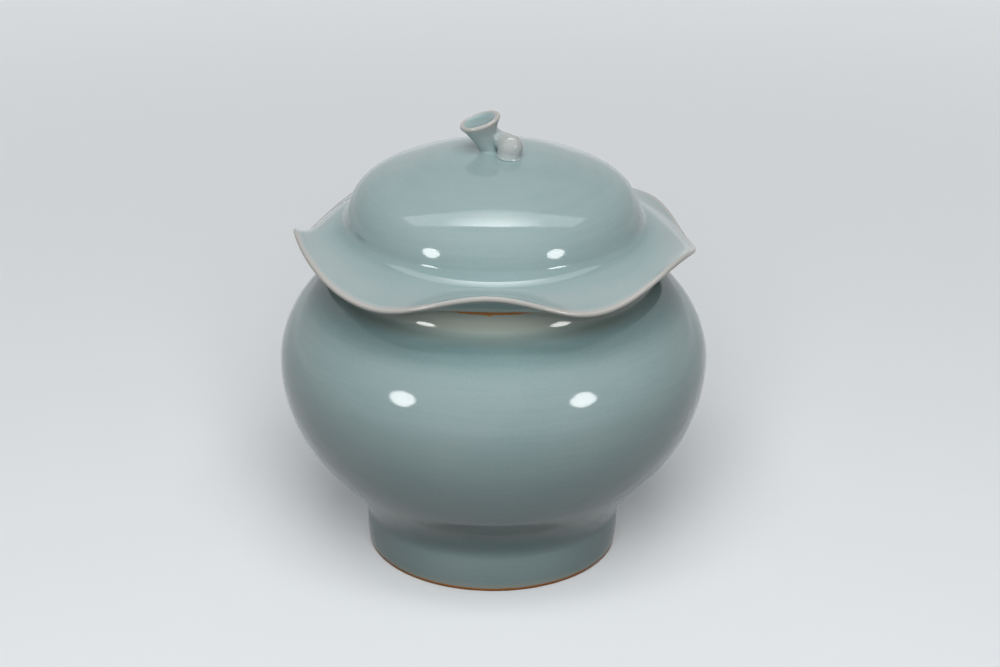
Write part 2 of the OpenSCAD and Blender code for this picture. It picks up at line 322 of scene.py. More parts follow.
def noise(tree, place, size_mm, detail=2.0, roughness=0.5):
    """A noise with features of the size given, as one number."""
    return add_node(tree, "ShaderNodeTexNoise", {"Scale": per_metre(size_mm), "Detail": detail,
                                                 "Roughness": roughness}, {"Vector": place}).outputs["Fac"]


def glaze_material(name, colours):
    """Celadon: a glossy stoneware glaze, dipped and fired in reduction. It is translucent,
    so it looks pale and grey where it runs thin over an edge and blue-green where it
    pools; its surface mirrors the lamps, a little wavy from the throwing and the firing.
    Where it was wiped off, matt orange clay shows, and the glaze beside it is flushed olive."""
    material, tree = blank_material(name)
    place = add_node(tree, "ShaderNodeTexCoord").outputs["Object"]
    cloud = noise(tree, place, CLOUD_MM)
    grain = noise(tree, place, GRAIN_MM, 3.0, 0.6)
    grit = noise(tree, place, GRIT_MM, 4.0, 0.7)
    depth, bare, olive = (add_node(tree, "ShaderNodeAttribute", attribute_name=key).outputs["Fac"]
                          for key in ("glaze_depth", "bare_clay", "olive_flush"))
    # Throwing lines: a noise squeezed along the axis, so its features are long flat bands.
    level = add_node(tree, "ShaderNodeMapping", {"Scale": (0.06, 0.06, 1.0)}, {"Vector": place})
    throw = noise(tree, level.outputs[0], THROW_MM, 2.0)
    # Depth of the glaze: the piece's own, with clouds, throwing lines and fine mottling.
    varied = depth
    for source, low, high, swing in ((cloud, 0.0, 1.0, 0.09), (throw, 0.2, 0.8, 0.04), (grain, 0.3, 0.7, 0.04)):
        drift = add_node(tree, "ShaderNodeMapRange", {"From Min": low, "From Max": high, "To Min": -swing,
                                                      "To Max": swing}, {"Value": source})
        varied = add_node(tree, "ShaderNodeMath", links={0: varied, 1: drift.outputs[0]}, operation="ADD").outputs[0]
    glaze = add_node(tree, "ShaderNodeValToRGB", links={"Fac": varied}, stops=[
        (0.0, (*colours.edge, 1)), (0.24, (*colours.thin, 1)), (0.5, (*colours.body, 1)),
        (0.78, (*colours.deep, 1)), (1.0, (*colours.pool, 1))])
    # The olive flush comes and goes along the throwing lines.
    streak = add_node(tree, "ShaderNodeMapRange", {"From Min": 0.3, "From Max": 0.7, "To Min": 0.65, "To Max": 1.1},
                      {"Value": throw})
    flush = add_node(tree, "ShaderNodeMath", links={0: olive, 1: streak.outputs[0]}, operation="MULTIPLY")
    flushed = add_node(tree, "ShaderNodeMix", {"B": (*colours.olive, 1)},
                       {"Factor": flush.outputs[0], "A": glaze.outputs["Color"]}, data_type="RGBA")
    # A few iron specks.
    specks = add_node(tree, "ShaderNodeTexVoronoi", {"Scale": per_metre(SPECK_MM)}, {"Vector": place})
    speck = add_node(tree, "ShaderNodeMapRange", {"From Min": 0.02, "From Max": 0.05, "To Min": 0.3, "To Max": 0.0},
                     {"Value": specks.outputs["Distance"]})
    specked = add_node(tree, "ShaderNodeMix", {"B": (*colours.burnt, 1)},
                       {"Factor": speck.outputs[0], "A": flushed.outputs["Result"]}, data_type="RGBA")
    # Bare clay, with a wandering edge.
    wander = add_node(tree, "ShaderNodeMapRange", {"To Min": -0.22, "To Max": 0.22}, {"Value": noise(tree, place, 6)})
    bared = add_node(tree, "ShaderNodeMath", links={0: bare, 1: wander.outputs[0]}, operation="ADD")
    mask = add_node(tree, "ShaderNodeMapRange", {"From Min": 0.42, "From Max": 0.58}, {"Value": bared.outputs[0]},
                    interpolation_type="SMOOTHSTEP").outputs[0]
    clay = add_node(tree, "ShaderNodeMix", {"A": (*colours.burnt, 1), "B": (*colours.clay, 1)}, {"Factor": grit},
                    data_type="RGBA")
    shade = add_node(tree, "ShaderNodeMix", links={"Factor": mask, "A": specked.outputs["Result"],
                                                   "B": clay.outputs["Result"]}, data_type="RGBA")
    # Gloss: the glaze is nearly a mirror, a little softer in clouds; the clay is matt.
    gloss = add_node(tree, "ShaderNodeMapRange", {"To Min": 0.05, "To Max": 0.1}, {"Value": cloud})
    roughness = add_node(tree, "ShaderNodeMix", {"B": 0.8}, {"Factor": mask, "A": gloss.outputs[0]})
    # Relief: faint throwing lines, a dimpled fired skin, and grit on the clay.
    lines = add_node(tree, "ShaderNodeBump", {"Strength": 1.0, "Distance": 0.000012}, {"Height": throw})
    dimples = add_node(tree, "ShaderNodeBump", {"Strength": 1.0, "Distance": 0.00002},
                       {"Height": noise(tree, place, PEEL_MM, 1.0), "Normal": lines.outputs[0]})
    gritty = add_node(tree, "ShaderNodeMath", links={0: grit, 1: mask}, operation="MULTIPLY")
    relief = add_node(tree, "ShaderNodeBump", {"Strength": 1.0, "Distance": 0.0002},
                      {"Height": gritty.outputs[0], "Normal": dimples.outputs[0]})
    shader = add_node(tree, "ShaderNodeBsdfPrincipled", {"IOR": 1.52},
                      {"Base Color": shade.outputs["Result"], "Roughness": roughness.outputs["Result"],
                       "Normal": relief.outputs[0]})
    add_node(tree, "ShaderNodeOutputMaterial", links={"Surface": shader.outputs[0]})
    return material


def clay_material(name, colours):
    """Unglazed stoneware, turned and fired: matt, gritty and orange-brown, darker where
    the fire has flashed it."""
    material, tree = blank_material(name)
    place = add_node(tree, "ShaderNodeTexCoord").outputs["Object"]
    flash = noise(tree, place, 30)
    grit = noise(tree, place, GRIT_MM, 4.0, 0.7)
    blend = add_node(tree, "ShaderNodeMath", links={0: flash, 1: grit}, operation="MULTIPLY")
    spread = add_node(tree, "ShaderNodeMapRange", {"From Min": 0.12, "From Max": 0.38}, {"Value": blend.outputs[0]})
    shade = add_node(tree, "ShaderNodeMix", {"A": (*colours.burnt, 1), "B": (*colours.clay, 1)},
                     {"Factor": spread.outputs[0]}, data_type="RGBA")
    dull = add_node(tree, "ShaderNodeMapRange", {"To Min": 0.72, "To Max": 0.9}, {"Value": grit})
    relief = add_node(tree, "ShaderNodeBump", {"Strength": 1.0, "Distance": 0.0002}, {"Height": grit})
    shader = add_node(tree, "ShaderNodeBsdfPrincipled", {"IOR": 1.5},
                      {"Base Color": shade.outputs["Result"], "Roughness": dull.outputs[0], "Normal": relief.outputs[0]})
    add_node(tree, "ShaderNodeOutputMaterial", links={"Surface": shader.outputs[0]})
    return material


def material_once(name, maker, colours):
    """The material of that name, made if it isn't there yet."""
    return bpy.data.materials.get(name) or maker(name, colours)


# ---- The jar ----

LOWER_SHARE = 1.0536     # height of the lower quarter ellipse, against the belly's height over the foot
UPPER_SHARE = 1.191      # height of the upper quarter ellipse, against the rim's height over the belly
AROUND_JAR = 320


def on_belly(jar, phi, height):
    """Points on a quarter ellipse of the belly, at the angles phi in radians."""
    return np.stack([jar.belly_d / 2 * np.cos(phi), jar.belly_z + height * np.sin(phi)], -1)


def belly_direction(jar, phi, height):
    """Direction of the quarter ellipse at one angle, upwards."""
    d = np.array([-jar.belly_d / 2 * np.sin(phi), height * np.cos(phi)])
    return d / np.linalg.norm(d)


def lower_outline(jar):
    """The lower bowl's outer profile from the table to the seam: the foot's wall, one turn
    into the belly, and a hanging quarter ellipse."""
    foot_r, top_r = jar.foot_d / 2, jar.foot_d / 2 + jar.foot_flare
    height = (jar.belly_z - jar.foot_h) * LOWER_SHARE
    phi = math.asin((jar.foot_h + jar.foot_turn_h - jar.belly_z) / height)
    end = on_belly(jar, phi, height)
    wall = bezier([[foot_r + 0.36, 1.2], [top_r, jar.foot_h * 0.35], [top_r, jar.foot_h * 0.7],
                   [top_r, jar.foot_h]], 10)
    turn = bezier([[top_r, jar.foot_h], [top_r, jar.foot_h + jar.foot_turn_h * 0.2],
                   end - jar.foot_turn_h * 0.65 * belly_direction(jar, phi, height), end], 24)
    belly = on_belly(jar, phi * (1 - np.linspace(0, 1, 41)), height)
    return wall, turn, belly


def upper_outline(jar):
    """The upper bowl's outer profile from the seam to the neck: a standing quarter ellipse
    and one turn into the upright neck."""
    height = (jar.rim_z - jar.belly_z) * UPPER_SHARE
    neck_r, neck_z = jar.neck_d / 2, jar.rim_z - jar.neck_h
    phi = math.asin((neck_z - jar.shoulder_h - jar.belly_z) / height)
    start = on_belly(jar, phi, height)
    belly = on_belly(jar, phi * np.linspace(0, 1, 33), height)
    turn = bezier([start, start + jar.shoulder_h * belly_direction(jar, phi, height),
                   [neck_r + 3, neck_z - jar.shoulder_h * 0.85], [neck_r, neck_z]], 28)
    return belly, turn


def out_of_true(grid, jar):
    """Leans the belly a little to the right over its upper half, as thrown ware is."""
    z = grid[..., 2]
    lean = jar.sway * smooth(z, jar.belly_z - 25, jar.belly_z + 20) * (1 - smooth(z, jar.rim_z - 22, jar.rim_z - 8))
    moved = grid.copy()
    moved[..., 0] += lean
    return moved


class JAR_OT_lower_bowl(bpy.types.Operator):
    """Throw the lower bowl, with its foot ring and the ledge for the base"""
    bl_idname = "jar.lower_bowl"
    bl_label = "Lower bowl"

    def execute(self, context):
        jar = in_mm(context.scene.jar_sizes)
        foot_r, top_r = jar.foot_d / 2, jar.foot_d / 2 + jar.foot_flare
        wall, turn, belly = lower_outline(jar)
        inner = offset_left(chain(turn, belly), jar.wall)[1:-1]
        ledge_r = top_r - jar.wall
        ring_in = foot_r - 7
        foot = rounded([[ledge_r - 16, 9], [ring_in - 1.2, 9], [ring_in, 1.2], [ring_in + 1.2, 0], [foot_r - 0.6, 0],
                        [foot_r + 0.36, 1.2]], 0.9)[3:-3]
        hollow = rounded([[ledge_r, jar.foot_h + 4], [ledge_r, 16], [ledge_r - 16, 16], [ledge_r - 16, 9], [ring_in, 9]], 0.9)
        profile = divided(chain(foot[5:], wall, turn, belly, [[jar.belly_d / 2 - jar.wall, jar.belly_z]],
                                inner[::-1], hollow[5:15], hollow[15:20]), 3.0)
        grid = out_of_true(turned(profile, AROUND_JAR), jar)
        z = grid[..., 2]
        # The glaze deepens in the turn above the foot, more than pooling alone would give: partly pooled glaze,
        # partly painted shade that darkens the waist under the belly. It runs thin at the foot's bottom edge.
        depth = 0.5 + 0.42 * bell(z, 36, 9) - 0.22 * bell(z, 2.5, 2.2)
        piece = skin("lower_bowl_thrown", grid, "jar", "jar_glaze",
                     material_once("celadon_glaze_dipped_jar", glaze_material, context.scene.glaze_colours),
                     glaze_depth=depth, bare_clay=np.clip(0.5 + (2.4 - z) / 2.4, 0, 1),
                     olive_flush=0.6 * bell(z, 3.5, 1.6))
        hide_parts("lower_bowl")
        return {"FINISHED"}


class JAR_OT_upper_bowl(bpy.types.Operator):
    """Throw the upper bowl, with its shoulder, neck and mouth rim"""
    bl_idname = "jar.upper_bowl"
    bl_label = "Upper bowl"

    def execute(self, context):
        jar = in_mm(context.scene.jar_sizes)
        belly, turn = upper_outline(jar)
        inner = offset_left(chain(belly, turn), jar.wall)[1:-1]
        neck_r, mouth_r, edge_z = jar.neck_d / 2, jar.neck_d / 2 - jar.wall, jar.rim_z - 1.5
        profile = divided(chain(
            belly, turn, arc([neck_r - 1.5, edge_z], 1.5, 0, 90, 8), arc([mouth_r + 1.5, edge_z], 1.5, 90, 180, 8),
            [[mouth_r, jar.rim_z - jar.neck_h]], inner[::-1], [[jar.belly_d / 2 - jar.wall, jar.belly_z]]), 3.0)
        grid = out_of_true(turned(profile, AROUND_JAR), jar)
        z = grid[..., 2]
        angle = np.degrees(np.arctan2(grid[..., 0], -grid[..., 1]))
        # The glaze thins up the neck and is wiped off round the mouth, lowest at the front. The neck is drawn paler
        # than its thin glaze and olive flush alone would make it: partly thin glaze, partly painted light against the
        # lid's shadow.
        depth = 0.5 + 0.3 * bell(z, jar.rim_z - 24, 7) - 0.34 * smooth(z, jar.rim_z - 20, jar.rim_z - 11)
        wiped_z = jar.rim_z - 3.2 - 1.3 * bell(angle, 0, 15) - 1.7 * bell(angle, -1.5, 1.6)
        piece = skin("upper_bowl_thrown", grid, "jar", "jar_glaze",
                     material_once("celadon_glaze_dipped_jar", glaze_material, context.scene.glaze_colours),
                     glaze_depth=depth, bare_clay=np.clip(0.5 + (z - wiped_z) / 1.6, 0, 1),
                     olive_flush=0.7 * smooth(z, jar.rim_z - 21, jar.rim_z - 12))
        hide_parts("upper_bowl")
        return {"FINISHED"}


class JAR_OT_base(bpy.types.Operator):
    """Drop the saucer-shaped base in on its ledge"""
    bl_idname = "jar.base"
    bl_label = "Base"

    def execute(self, context):
        jar = in_mm(context.scene.jar_sizes)
        ledge_r = jar.foot_d / 2 + jar.foot_flare - jar.wall
        rim_r, bowl_r = ledge_r - 0.6, ledge_r - 16.6
        sag = bezier([[0.2, -3.5], [bowl_r * 0.4, -3.5], [bowl_r * 0.75, -1.75], [bowl_r, 0]], 18)
        edge = rounded([[bowl_r, 0], [rim_r, 0], [rim_r, 5.5], [bowl_r, 5.5]], 0.8)[5:15]
        profile = divided(chain(sag, edge, sag[::-1] + [0, 5.5]), 2.5) + [0, 16]
        grid = turned(profile, 200)
        piece = skin("base_saucer", grid, "jar", "base_glaze",
                     material_once("celadon_glaze_dipped_base", glaze_material, context.scene.glaze_colours),
                     loop=False, glaze_depth=0.62)
        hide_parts("base_disc")
        return {"FINISHED"}


# ---- The lid ----

# Lobes and dips of the pinched brim: direction in degrees from the front, turning
# to the right, height of the edge above the rim, and how far the pinch drew it outwards.
LOBES = [[-1, 15.9, 0], [62, 13, 0], [127, 5.5, -0.5], [204, 9.5, -1], [280, 14.5, -2]]
DIPS = [[30, 1.6, 0], [103, -4, -1.2], [168, -4, -0.5], [254, -6, -1.8], [325, 1.3, 0.8]]
AROUND_LID = 416


def brim_edge(angle):
    """Height and reach of the brim's edge at each angle, eased by a cosine from each lobe
    to its dip and on to the next lobe."""
    pinches = np.array([p for pair in zip(LOBES, DIPS) for p in pair] + [[LOBES[0][0] + 360, *LOBES[0][1:]]])
    at = np.searchsorted(pinches[:, 0], angle, side="right") - 1
    at = np.clip(at, 0, len(pinches) - 2)
    a, b = pinches[at], pinches[at + 1]
    t = (1 - np.cos(np.pi * (angle - a[:, 0]) / (b[:, 0] - a[:, 0]))) / 2
    return a[:, 1] + (b[:, 1] - a[:, 1]) * t, a[:, 2] + (b[:, 2] - a[:, 2]) * t


DOME_PULL = (0.8, 0.6)   # how far the turn's two ends reach, against its height
DOME_LEAN = math.radians(12)    # how far the side leans in at its foot


def dome_outline(lid, rim_z, dome_r):
    """The dome's outer profile from its top down: the crown's arc, then one turn into the
    steep side, which leans in a little."""
    top = rim_z + lid.dome_rise
    w = math.asin(lid.crown_edge_r / lid.crown_r)
    a = np.linspace(0.002, w, 20)
    crown = np.stack([lid.crown_r * np.sin(a), top - lid.crown_r * (1 - np.cos(a))], 1)
    foot_z = rim_z + lid.dome_foot_rise
    height = crown[-1, 1] - foot_z
    side = bezier([crown[-1], crown[-1] + DOME_PULL[0] * height * np.array([math.cos(w), -math.sin(w)]),
                   [dome_r - DOME_PULL[1] * height * math.tan(DOME_LEAN), foot_z + DOME_PULL[1] * height],
                   [dome_r, foot_z]], 30)
    return chain(crown, side)


class JAR_OT_leaf(bpy.types.Operator):
    """Throw the dome and pinch its brim up and down into the lobes of a leaf"""
    bl_idname = "jar.leaf"
    bl_label = "Leaf lid"

    def execute(self, context):
        jar, lid = in_mm(context.scene.jar_sizes), in_mm(context.scene.lid_sizes)
        neck_r, rim_z = jar.neck_d / 2, jar.rim_z
        dome_r = neck_r - lid.dome_inset
        dome = dome_outline(lid, rim_z, dome_r)
        root = np.array([neck_r + 3.5, rim_z + lid.brim_root_rise])
        foot = np.array([dome_r, rim_z + lid.dome_foot_rise])
        across, down = root[0] - dome_r, foot[1] - root[1]
        fillet = bezier([foot, foot + [down * 0.5 * math.tan(DOME_LEAN), -down * 0.5],
                         root + [-across * 0.5, across * 0.2], root], 14)
        inner = offset_left(dome, -lid.wall)[::-1]
        seat_r = neck_r + 6.5
        fixed_top = divided(chain(dome, fillet), 3.0)
        fixed_end = divided(chain([[seat_r, rim_z], [dome_r - lid.wall, rim_z]], inner), 4.0)

        angle = LOBES[0][0] + np.arange(AROUND_LID) * 360 / AROUND_LID
        rise, reach = brim_edge(angle)
        rise, edge_r = rise[:, None], lid.brim_d / 2 + reach[:, None]
        # Across the top, u runs from 0 at the dome to 1 at the edge. The mean surface falls
        # early and the lobes grow late.
        u = np.linspace(0, 1, 31)[None, 1:]
        top_r = root[0] + (edge_r - root[0]) * u
        top_z = root[1] + (rim_z + lid.brim_edge_rise + lid.lip - root[1]) * (1 - (1 - u) ** 1.6) \
            + (rise - lid.brim_edge_rise) * u ** 1.8
        w = np.radians(np.linspace(90, -90, 15))[None, 1:]
        lip_r, lip_z = edge_r + lid.lip * np.cos(w), rim_z + rise + lid.lip * np.sin(w)
        v = np.linspace(1, 0, 19)[None, 1:-1]
        under_r = seat_r + (edge_r - seat_r) * v
        under_z = rim_z + (rise - lid.lip) * v ** 1.5

        def spread(path):
            return np.broadcast_to(path[:, 0], (AROUND_LID, len(path))), np.broadcast_to(path[:, 1], (AROUND_LID, len(path)))

        parts = [spread(fixed_top), (top_r, top_z), (lip_r, lip_z), (under_r, under_z), spread(fixed_end)]
        r = np.concatenate([p[0] for p in parts], 1)
        z = np.concatenate([p[1] for p in parts], 1)
        a = np.radians(angle)[:, None]
        grid = np.stack([r * np.sin(a), -r * np.cos(a), z], 2)

        # The glaze is drawn thin over the edge, gathers where the dome turns into the brim,
        # and is wiped off the seat.
        kind = np.concatenate([np.full(p[0].shape[1], k) for k, p in enumerate(parts)])[None]
        from_edge = edge_r + lid.lip - r
        depth = 0.5 + 0.16 * bell(r, dome_r + 3, 4) * (kind < 2) - 0.1 * smooth(r, 92, 108) * (kind == 1)
        thin = np.where(kind == 2, 1.0, np.where(kind == 1, 1 - smooth(from_edge, 0.8, 4.6), 0))
        thin = np.where(kind == 3, 1 - smooth(from_edge, 1.0, 3.6), thin)
        depth = depth * (1 - thin) + 0.02 * thin
        bare = np.where(kind >= 3, np.clip(0.5 + (seat_r - 3 - r) / 4, 0, 1) * (z < rim_z + 2), 0.0)
        piece = skin("leaf_lid", grid, "lid", "lid_glaze",
                     material_once("celadon_glaze_dipped_lid", glaze_material, context.scene.glaze_colours),
                     loop=False, glaze_depth=depth, bare_clay=bare)
        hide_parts("lid_leaf")
        return {"FINISHED"}


class JAR_OT_ring(bpy.types.Operator):
    """Turn the locating ring that hangs into the mouth, and leave it unglazed"""
    bl_idname = "jar.ring"
    bl_label = "Locating ring"

    def execute(self, context):
        jar = in_mm(context.scene.jar_sizes)
        outer_r = jar.neck_d / 2 - jar.wall - 1.2
        outline = rounded([[outer_r, jar.rim_z], [outer_r - 4.2, jar.rim_z], [outer_r - 4.2, jar.rim_z - 13],
                           [outer_r - 3.1, jar.rim_z - 14], [outer_r - 1.1, jar.rim_z - 14],
                           [outer_r, jar.rim_z - 13]], 0.7)
        grid = turned(divided(outline, 1.5), 240)
        piece = skin("locating_ring", grid, "lid", "bare_clay",
                     material_once("stoneware_fired_unglazed", clay_material, context.scene.glaze_colours))
        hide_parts("lid_ring")
        return {"FINISHED"}


# ---- The knob ----

STALK_FOOT = (-2.4, -3.0)     # where the stalk's axis meets the crown
STALK_LEAN, STALK_TILT = 18.0, 2.0    # how far it leans to the left and to the back, in degrees
STALK_LIP = 1.3               # radius of the rounded lip
CURL_START = (0.9, -0.9)      # where the curl's neck starts, and its direction from the right
CURL_TURN = -50.0
CURL_LEN, CURL_RISE = 12.4, 4.3       # from there to the ball, and the ball's height over the crown
# The curl's glaze is shallower than the stalk's, so it renders paler: partly thin glaze, partly painted light for the
# side that faces the round lamps.
STALK_DEPTH, CURL_DEPTH = 0.29, 0.16  # depth of the glaze on each, thin on such small forms


def rod(points, start, end, start_r, end_r):
    """Distance to a rod with round ends, whose radius goes from one to the other."""
    start, end = np.asarray(start, float), np.asarray(end, float)
    axis, off = end - start, points - start
    t = np.clip(off @ axis / (axis @ axis), 0, 1)
    return np.linalg.norm(off - t[..., None] * axis, axis=-1) - (start_r + (end_r - start_r) * t)


def blended(a, b, width):
    """The nearer of two distances, with the corner between them filled where they are
    closer than the width."""
    h = np.clip(0.5 + 0.5 * (b - a) / width, 0, 1)
    return b + (a - b) * h - width * h * (1 - h)


class KnobForm:
    """The knob's soft forms, each as the distance of a point from its skin in millimetres,
    negative inside: the crown's sphere, the trumpet of the stalk, and the curl."""

    def __init__(self, scene):
        self.jar, self.lid, self.knob = (in_mm(g) for g in (scene.jar_sizes, scene.lid_sizes, scene.knob_sizes))
        self.top = self.jar.rim_z + self.lid.dome_rise
        self.crown_centre = np.array([0, 0, self.top - self.lid.crown_r])
        self.stalk_foot = np.array([*STALK_FOOT, self.crown_z(*STALK_FOOT)])
        self.stalk_turn = np.array(Matrix.Rotation(math.radians(-STALK_LEAN), 3, "Y")
                                   @ Matrix.Rotation(math.radians(STALK_TILT), 3, "X"))
        w = math.radians(CURL_TURN)
        self.out = np.array([math.cos(w), math.sin(w), 0])
        self.ball = np.array([*CURL_START, self.top + CURL_RISE]) + CURL_LEN * self.out

    def crown_z(self, x, y):
        """Height of the crown at a place."""
        return self.crown_centre[2] + math.sqrt(self.lid.crown_r ** 2 - x ** 2 - y ** 2)

    def stalk_side(self):
        """The stalk's outer profile, from its foot up to its lip, as radius and length."""
        knob, mouth = self.knob, self.knob.mouth_r - STALK_LIP
        return bezier([[knob.foot_r, 0], [knob.foot_r + 1.6, knob.stalk_len * 0.3],
                       [knob.foot_r + 2.9, knob.stalk_len * 0.62],
                       [mouth + STALK_LIP * 0.87, knob.stalk_len - STALK_LIP * 1.5]], 40)

    def stalk_sway(self, s):
        """How far the stalk's axis bends to the left at a length."""
        return 0.4 * np.sin(np.pi * np.clip(s / self.knob.stalk_len, 0, 1))

    def crown(self, points):
        return np.linalg.norm(points - self.crown_centre, axis=-1) - self.lid.crown_r

    def stalk(self, points):
        local = (points - self.stalk_foot) @ self.stalk_turn
        side = self.stalk_side()
        r = np.hypot(local[..., 0] + self.stalk_sway(local[..., 2]), local[..., 1])
        return 0.9 * (r - np.interp(local[..., 2], side[:, 1], side[:, 0]))

    def curl(self, points):
        """A ball, a leg that spreads to the left as it goes down to the crown, and a neck
        that slopes up to the stalk."""
        r, p = self.knob.curl_r, points - self.ball
        foot = [-0.7, -0.3, self.crown_z(*self.ball[:2]) - self.ball[2]]
        leg = rod(p, [0, 0, -0.5], foot, r * 0.97, r * 0.99)
        neck = rod(p, 0.1 * r * self.out + [0, 0, 1.3], -CURL_LEN * self.out + [0, 0, 3.0], r * 0.93, r * 0.66)
        return blended(blended(np.linalg.norm(p, axis=-1) - r, leg, 0.6), neck, 1.0)

    def joined(self, points):
        """The three forms as one. Clay and glaze fill the corner between stalk and curl
        broadly at the top and hardly at all low down, and glaze fills the corner on the
        crown, which lies a little too low here, so that the skins end under it."""
        crown = self.crown(points)
        width = 0.4 + 3.2 * smooth(crown, 5.5, 11)
        knob = blended(self.stalk(points), self.curl(points), width)
        return blended(knob, crown + 0.2, self.knob.glaze_fillet)

    def depth(self, points, stalk_depth, curl_depth):
        """Depth of the glaze: one on the stalk and one on the curl, and more in the corners."""
        stalk, curl, crown = self.stalk(points), self.curl(points), self.crown(points)
        near = smooth(stalk - curl, -1.5, 1.5)
        crease = np.exp(-(np.abs(stalk) + np.abs(curl)) / 1.4) + np.exp(-np.maximum(crown, 0) / 1.3)
        return stalk_depth * (1 - near) + curl_depth * near + 0.3 * np.minimum(crease, 1)


class JAR_OT_stalk(bpy.types.Operator):
    """Pull the stalk up from the crown and flare its mouth into a small dish"""
    bl_idname = "jar.stalk"
    bl_label = "Stalk"

    def execute(self, context):
        form = KnobForm(context.scene)
        knob = form.knob
        mouth, dish_z, full = knob.mouth_r - STALK_LIP, knob.stalk_len - knob.dish, knob.stalk_len
        lip = arc([mouth, full - STALK_LIP], STALK_LIP, -30, 90, 12)
        dish = bezier([[mouth, full], [mouth * 0.84, full - knob.dish * 0.2], [mouth * 0.6, dish_z],
                       [0.15, dish_z]], 24)
        profile = divided(chain([[0.15, -0.9], [knob.foot_r, -0.9]], form.stalk_side(), lip, dish), 0.45)
        r, s = profile[:, 0], profile[:, 1]
        a = np.radians(np.arange(240) * 1.5)[:, None]
        sway = form.stalk_sway(s)
        last = len(r) - np.argmax(r[::-1] >= mouth) - 1
        in_dish = np.arange(len(r)) > last
        # The dish is pressed in off centre, so the lip is broad in front and narrow behind.
        off = in_dish * smooth(mouth - r, 0, 2.5)
        local = np.stack([r * np.sin(a) - sway - 0.3 * off, -r * np.cos(a) + 1.1 * off, s + 0 * a], 2)
        grid = local @ form.stalk_turn.T + form.stalk_foot
        # The outer skin moves out along its radius until it meets the joined form, and
        # stops inside the curl.
        outward = np.stack([np.sin(a), -np.cos(a), 0 * a], 2) @ form.stalk_turn.T
        outer = (r > knob.foot_r - 0.1) & (s < full - 3.5)
        ease = outer * smooth(full - 3.5 - s, 0, 1.5)
        moved = np.zeros(grid.shape[:2])
        # Near the crown it may not move far, so that it leaves no long skirt there.
        farthest = 1.8 + 3.2 * smooth(form.crown(grid), 2.5, 5.5)
        for _ in range(40):
            moved = np.clip(moved - form.joined(grid + moved[..., None] * outward), 0, farthest)
        grid = grid + (moved * ease)[..., None] * outward
        lip_part = smooth(r, mouth - 1.9, mouth - 0.7) * smooth(s, full - 5.5, full - 2.2)
        depth = form.depth(grid, STALK_DEPTH, CURL_DEPTH)
        depth = np.where(in_dish, 0.5 + 0.2 * smooth(mouth - r, 1, 6), depth) * (1 - lip_part) + 0.03 * lip_part
        piece = skin("stalk_pulled", grid, "lid", "knob_glaze",
                     material_once("celadon_glaze_dipped_knob", glaze_material, context.scene.glaze_colours),
                     loop=False, glaze_depth=depth)
        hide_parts("knob_stalk")
        return {"FINISHED"}


class JAR_OT_curl(bpy.types.Operator):
    """Bend the stalk's curled end down to the crown"""
    bl_idname = "jar.curl"
    bl_label = "Curled end"

    def execute(self, context):
        form = KnobForm(context.scene)
        # From the ball's middle the form is seen whole in every direction, so it is a
        # distance as a function of two angles, found by stepping out along each ray. It
        # stops inside the stalk and inside the crown.
        theta = np.radians(np.arange(240) * 1.5)[:, None]
        phi = np.radians(np.linspace(0.8, 179.2, 130))[None]
        ray = np.stack([np.sin(phi) * np.sin(theta), -np.sin(phi) * np.cos(theta), np.cos(phi) + 0 * theta], 2)
        farthest = 9.5 + 2.5 * smooth(np.cos(phi) + 0 * theta, -0.3, 0.3)
        reach = np.full(ray.shape[:2], form.knob.curl_r * 0.5)
        for _ in range(80):
            reach = np.minimum(reach - form.joined(form.ball + ray * reach[..., None]), farthest)
        reach = reach - 0.25 * smooth(reach, farthest - 2.0, farthest - 0.3)
        grid = form.ball + ray * reach[..., None]
        # Faint folds where the clay was twisted run down its left side.
        along = (grid - form.ball) @ np.array([0.87, -0.2, -0.45])
        left = smooth(-(grid - form.ball)[..., 0], 1.0, 5.0) * smooth(form.crown(grid), 1.0, 3.0)
        left = left * smooth(form.stalk(grid), 0.4, 1.6)
        grid = grid + (0.05 * left * np.sin(along * 2 * np.pi / 1.4))[..., None] * ray
        piece = skin("curl_bent", grid, "lid", "knob_glaze",
                     material_once("celadon_glaze_dipped_knob", glaze_material, context.scene.glaze_colours),
                     loop=False, glaze_depth=form.depth(grid, STALK_DEPTH, CURL_DEPTH))
        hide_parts("knob_curl")
        return {"FINISHED"}


# ---- The stage ----

def floor_material(name, settings):
    """Matt studio paper: pale to the camera and in the jar's gloss, and darker to the light
    it throws back, so that the jar keeps its own shadow side."""
    material, tree = blank_material(name)
    place = add_node(tree, "ShaderNodeTexCoord").outputs["Object"]
    fibre = add_node(tree, "ShaderNodeTexNoise", {"Scale": 30.0, "Detail": 4.0}, {"Vector": place})
    shade = add_node(tree, "ShaderNodeMix", {"A": (*[c * 0.985 for c in settings.pale], 1), "B": (*settings.pale, 1)},
                     {"Factor": fibre.outputs["Fac"]}, data_type="RGBA")
    lit = add_node(tree, "ShaderNodeBsdfDiffuse", {"Roughness": 1.0}, {"Color": shade.outputs["Result"]})
    # The paper's own glow makes up for the lamps' fall-off, until it meets the backdrop.
    away = add_node(tree, "ShaderNodeVectorMath", links={0: place}, operation="LENGTH")
    rise = add_node(tree, "ShaderNodeMapRange", {"From Min": 0.3, "From Max": 2.8, "To Min": 0.2, "To Max": 0.98},
                    {"Value": away.outputs["Value"]}, interpolation_type="SMOOTHSTEP")
    glow = add_node(tree, "ShaderNodeEmission", {"Color": (*settings.pale, 1)}, {"Strength": rise.outputs[0]})
    pale = add_node(tree, "ShaderNodeAddShader", links={0: lit.outputs[0], 1: glow.outputs[0]})
    dim = add_node(tree, "ShaderNodeBsdfDiffuse", {"Roughness": 1.0, "Color": (0.12, 0.13, 0.13, 1)})
    seen = add_node(tree, "ShaderNodeLightPath")
    mix = add_node(tree, "ShaderNodeMixShader", links={0: seen.outputs["Is Diffuse Ray"], 1: pale.outputs[0],
                                                       2: dim.outputs[0]})
    add_node(tree, "ShaderNodeOutputMaterial", links={"Surface": mix.outputs[0]})
    return material


